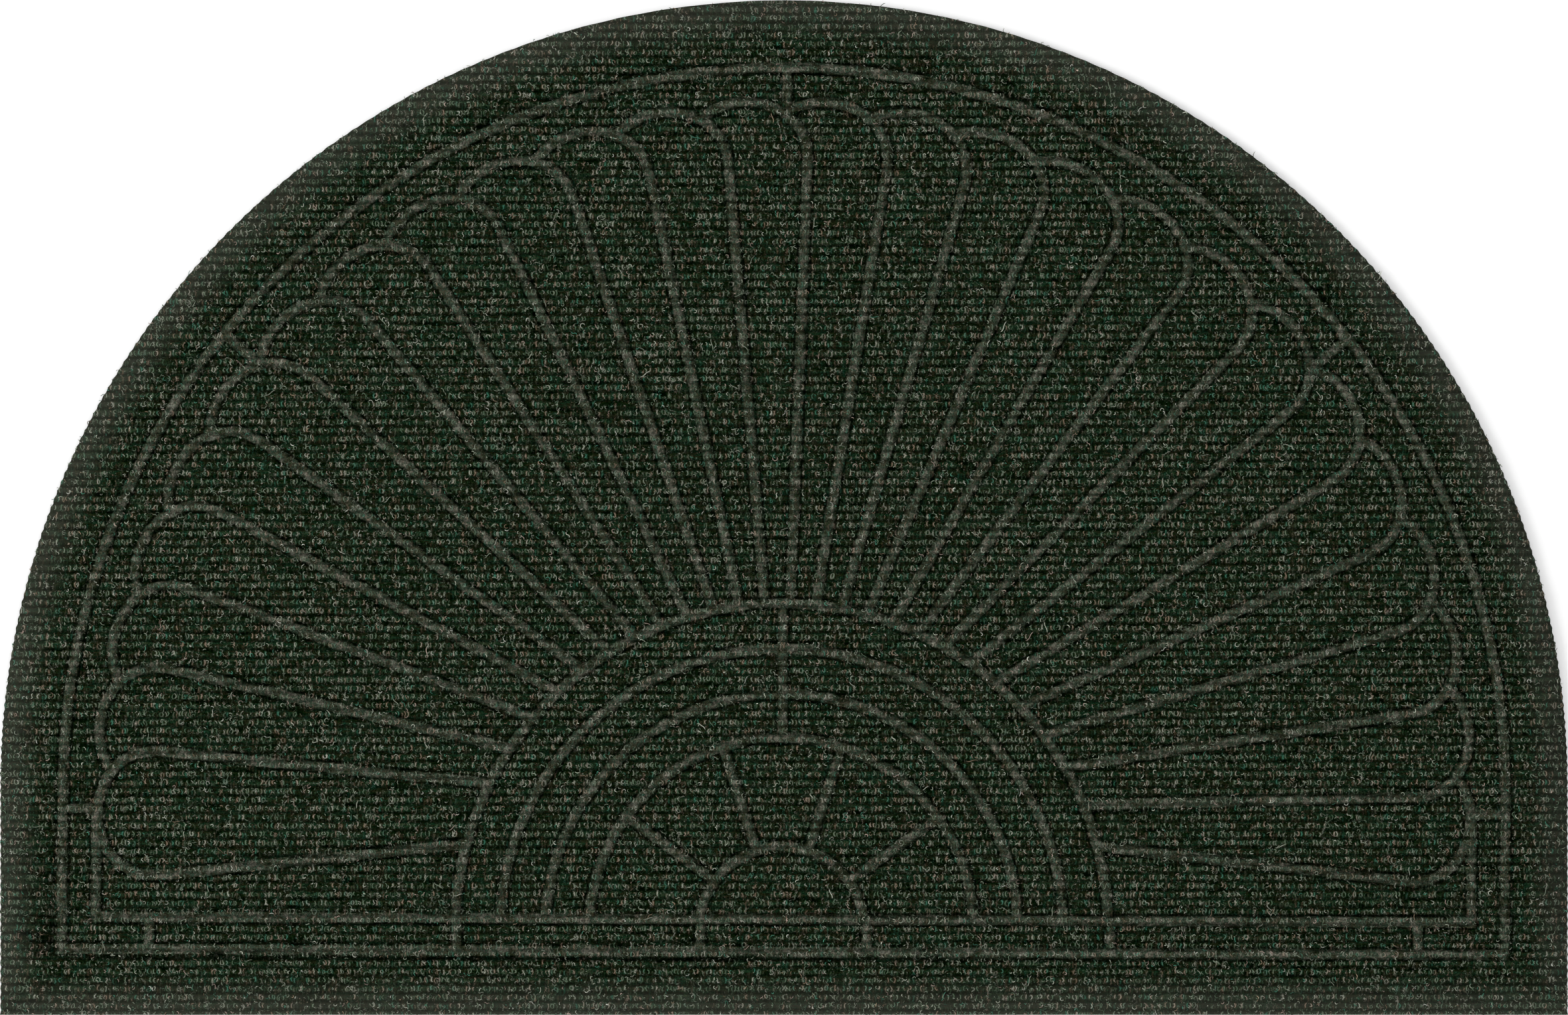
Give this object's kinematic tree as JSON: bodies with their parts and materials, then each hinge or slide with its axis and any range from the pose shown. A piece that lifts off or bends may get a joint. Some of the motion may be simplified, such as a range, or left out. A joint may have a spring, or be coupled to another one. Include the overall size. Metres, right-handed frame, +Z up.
{
  "type": "half round doormat",
  "caption": "Half round doormat of ribbed needle-punched carpet, moulded with a raised fanlight pattern of petals, hub rings and frame inside a plain sloped border.",
  "frame": {"origin": "middle of the underside's bounding box, on the floor", "axes": "+X to the right along the straight foot, +Y from the foot to the round edge, +Z up out of the face"},
  "size_m": [0.8636, 0.5588, 0.008],
  "materials": {
    "carpet": "matte needle-punched fibre in mixed greens with pale curly flecks"
  },
  "bodies": {
    "root": {"mat": "carpet"}
  },
  "joints": []
}
